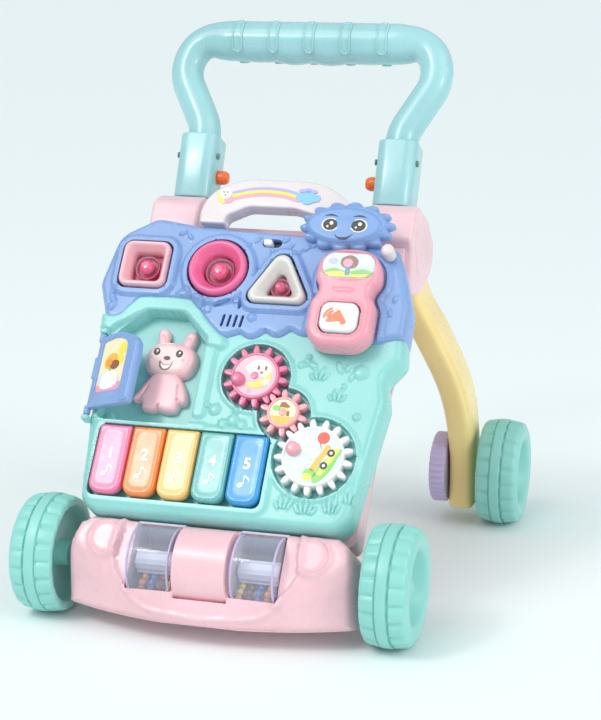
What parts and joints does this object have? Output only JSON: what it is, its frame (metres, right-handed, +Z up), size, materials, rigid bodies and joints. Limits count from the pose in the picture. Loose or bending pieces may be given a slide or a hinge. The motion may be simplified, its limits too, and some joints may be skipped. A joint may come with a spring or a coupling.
{
  "type": "baby walker",
  "caption": "Push-along baby walker with a sloping activity panel, four wheels, two rattle drums and a bent tube handle.",
  "frame": {"origin": "middle of the bounding box's bottom face, on the floor between the wheels", "axes": "+Z up, +Y towards the child who pushes (back), +X to the right of a viewer facing the panel"},
  "size_m": [0.43, 0.4797, 0.5219],
  "materials": {
    "teal": "moulded",
    "teal_handle": "moulded",
    "blue": "moulded",
    "pink": "moulded",
    "pink_frame": "moulded",
    "tread_teal": "moulded",
    "yellow_leg": "moulded",
    "lavender": "moulded",
    "white": "moulded",
    "hot_pink": "moulded",
    "pale_pink": "moulded",
    "clear": "moulded",
    "orange": "moulded",
    "green_pin": "moulded",
    "bead_mix": "moulded",
    "steel": "moulded",
    "key_pink": "moulded",
    "key_orange": "moulded",
    "key_yellow": "moulded",
    "key_teal": "moulded",
    "key_blue": "moulded",
    "board_green": "moulded",
    "black": "moulded",
    "cell_wrap": "moulded",
    "picture": "moulded",
    "gear_pink_mat": "moulded"
  },
  "bodies": {
    "chassis": {"base_housing": "pink", "base_bottom_cover": "pink", "back_frame": "pink_frame", "base_screws": "steel", "post_left": "teal_handle", "post_right": "teal_handle", "post_pins": "green_pin", "front_axles": "steel", "rear_axles": "steel", "hub_caps": "tread_teal", "rear_leg_left": "yellow_leg", "rear_leg_right": "yellow_leg", "drum_axle": "steel"},
    "panel": {"panel_lower": "teal", "panel_upper": "blue", "panel_back_cover": "teal", "panel_screws": "steel", "battery_cover": "teal", "batteries": "cell_wrap", "circuit_board": "board_green", "speaker": "black", "carry_handle": "white", "sun_face": "blue", "gear_shafts": "steel", "key_rod": "steel", "bunny": "pink"},
    "handle": {"handle": "teal_handle"},
    "front_wheel_left": {"front_wheel_left": "tread_teal"},
    "rear_wheel_left": {"rear_wheel_left": "tread_teal"},
    "speed_knob_left": {"speed_knob_left": "lavender"},
    "drum_left": {"drum_left": "clear", "drum_left_lid": "clear"},
    "beads_left": {"beads_left": "bead_mix"},
    "lock_button_left": {"lock_button_left": "orange"},
    "front_wheel_right": {"front_wheel_right": "tread_teal"},
    "rear_wheel_right": {"rear_wheel_right": "tread_teal"},
    "speed_knob_right": {"speed_knob_right": "lavender"},
    "drum_right": {"drum_right": "clear", "drum_right_lid": "clear"},
    "beads_right": {"beads_right": "bead_mix"},
    "lock_button_right": {"lock_button_right": "orange"},
    "key_1": {"key_1": "key_pink"},
    "key_2": {"key_2": "key_orange"},
    "key_3": {"key_3": "key_yellow"},
    "key_4": {"key_4": "key_teal"},
    "key_5": {"key_5": "key_blue"},
    "square_button": {"square_button": "pale_pink", "square_dome": "clear"},
    "round_button": {"round_button": "hot_pink", "round_dome": "clear"},
    "triangle_button": {"triangle_button": "white", "triangle_dome": "clear"},
    "gear_white": {"gear_white": "white"},
    "gear_middle": {"gear_middle": "pale_pink"},
    "gear_pink": {"gear_pink": "gear_pink_mat"},
    "door": {"door": "blue"},
    "phone": {"phone_body": "gear_pink_mat", "phone_window": "picture"},
    "phone_button": {"phone_button": "white"},
    "power_switch": {"power_switch": "pale_pink"}
  },
  "joints": [
    {"name": "panel_lift_off", "type": "slide", "parent": "chassis", "child": "panel", "axis": [0, -0.8014, 0.5982], "range_m": [0, 0.12]},
    {"name": "handle_pull_out", "type": "slide", "parent": "chassis", "child": "handle", "axis": [0, 0.4289, 0.9033], "range_m": [0, 0.05]},
    {"name": "front_wheel_left_spin", "type": "hinge", "parent": "chassis", "child": "front_wheel_left", "pos_m": [-0.162, -0.18, 0.055], "axis": [1, 0, 0], "continuous": true},
    {"name": "rear_wheel_left_spin", "type": "hinge", "parent": "chassis", "child": "rear_wheel_left", "pos_m": [-0.192, 0.185, 0.055], "axis": [1, 0, 0], "continuous": true},
    {"name": "speed_knob_left_turn", "type": "hinge", "parent": "chassis", "child": "speed_knob_left", "pos_m": [-0.128, 0.185, 0.055], "axis": [1, 0, 0], "range_deg": [0, 180]},
    {"name": "drum_left_spin", "type": "hinge", "parent": "chassis", "child": "drum_left", "pos_m": [-0.048, -0.205, 0.065], "axis": [1, 0, 0], "continuous": true},
    {"name": "beads_left_roll", "type": "hinge", "parent": "chassis", "child": "beads_left", "pos_m": [-0.048, -0.205, 0.065], "axis": [1, 0, 0], "continuous": true},
    {"name": "lock_button_left_press", "type": "slide", "parent": "chassis", "child": "lock_button_left", "axis": [-1, 0, 0], "range_m": [0, 0.005], "stiffness_N_per_m": 400, "springref_m": -0.002},
    {"name": "front_wheel_right_spin", "type": "hinge", "parent": "chassis", "child": "front_wheel_right", "pos_m": [0.162, -0.18, 0.055], "axis": [1, 0, 0], "continuous": true},
    {"name": "rear_wheel_right_spin", "type": "hinge", "parent": "chassis", "child": "rear_wheel_right", "pos_m": [0.192, 0.185, 0.055], "axis": [1, 0, 0], "continuous": true},
    {"name": "speed_knob_right_turn", "type": "hinge", "parent": "chassis", "child": "speed_knob_right", "pos_m": [0.128, 0.185, 0.055], "axis": [1, 0, 0], "range_deg": [0, 180]},
    {"name": "drum_right_spin", "type": "hinge", "parent": "chassis", "child": "drum_right", "pos_m": [0.048, -0.205, 0.065], "axis": [1, 0, 0], "continuous": true},
    {"name": "beads_right_roll", "type": "hinge", "parent": "chassis", "child": "beads_right", "pos_m": [0.048, -0.205, 0.065], "axis": [1, 0, 0], "continuous": true},
    {"name": "lock_button_right_press", "type": "slide", "parent": "chassis", "child": "lock_button_right", "axis": [1, 0, 0], "range_m": [0, 0.005], "stiffness_N_per_m": 400, "springref_m": -0.002},
    {"name": "key_1_press", "type": "hinge", "parent": "panel", "child": "key_1", "pos_m": [-0.1058, -0.14672, 0.16531], "axis": [1, 0, 0], "range_deg": [0, 3.5], "stiffness_Nm_per_rad": 0.6, "springref_deg": -4.58},
    {"name": "key_2_press", "type": "hinge", "parent": "panel", "child": "key_2", "pos_m": [-0.0734, -0.14672, 0.16531], "axis": [1, 0, 0], "range_deg": [0, 3.5], "stiffness_Nm_per_rad": 0.6, "springref_deg": -4.58},
    {"name": "key_3_press", "type": "hinge", "parent": "panel", "child": "key_3", "pos_m": [-0.041, -0.14672, 0.16531], "axis": [1, 0, 0], "range_deg": [0, 3.5], "stiffness_Nm_per_rad": 0.6, "springref_deg": -4.58},
    {"name": "key_4_press", "type": "hinge", "parent": "panel", "child": "key_4", "pos_m": [-0.0086, -0.14672, 0.16531], "axis": [1, 0, 0], "range_deg": [0, 3.5], "stiffness_Nm_per_rad": 0.6, "springref_deg": -4.58},
    {"name": "key_5_press", "type": "hinge", "parent": "panel", "child": "key_5", "pos_m": [0.0238, -0.14672, 0.16531], "axis": [1, 0, 0], "range_deg": [0, 3.5], "stiffness_Nm_per_rad": 0.6, "springref_deg": -4.58},
    {"name": "square_button_press", "type": "slide", "parent": "panel", "child": "square_button", "axis": [0, 0.8014, -0.5982], "range_m": [0, 0.0025], "stiffness_N_per_m": 600, "springref_m": -0.002},
    {"name": "round_button_press", "type": "slide", "parent": "panel", "child": "round_button", "axis": [0, 0.8014, -0.5982], "range_m": [0, 0.0025], "stiffness_N_per_m": 600, "springref_m": -0.002},
    {"name": "triangle_button_press", "type": "slide", "parent": "panel", "child": "triangle_button", "axis": [0, 0.8014, -0.5982], "range_m": [0, 0.0025], "stiffness_N_per_m": 600, "springref_m": -0.002},
    {"name": "gear_white_spin", "type": "hinge", "parent": "panel", "child": "gear_white", "pos_m": [0.08262, -0.15907, 0.15879], "axis": [0, -0.8014, 0.5982], "continuous": true},
    {"name": "gear_middle_spin", "type": "hinge", "parent": "panel", "child": "gear_middle", "pos_m": [0.0483, -0.13562, 0.19021], "axis": [0, -0.8014, 0.5982], "continuous": true},
    {"name": "gear_pink_spin", "type": "hinge", "parent": "panel", "child": "gear_pink", "pos_m": [0.01606, -0.11572, 0.21687], "axis": [0, -0.8014, 0.5982], "continuous": true},
    {"name": "door_swing", "type": "hinge", "parent": "panel", "child": "door", "pos_m": [-0.137, -0.12582, 0.21085], "axis": [0, -0.5982, -0.8014], "range_deg": [-27, 80]},
    {"name": "phone_lift_off", "type": "slide", "parent": "panel", "child": "phone", "axis": [0, -0.8014, 0.5982], "range_m": [0, 0.1]},
    {"name": "phone_button_press", "type": "slide", "parent": "phone", "child": "phone_button", "axis": [0, 0.8014, -0.5982], "range_m": [0, 0.0022], "stiffness_N_per_m": 400, "springref_m": -0.002},
    {"name": "power_switch_slide", "type": "slide", "parent": "panel", "child": "power_switch", "axis": [1, 0, 0], "range_m": [0, 0.007]}
  ],
  "couplings": [
    {"joint": "gear_middle_spin", "follows": "gear_white_spin", "ratio": -1.7},
    {"joint": "gear_pink_spin", "follows": "gear_white_spin", "ratio": 1.2143}
  ]
}
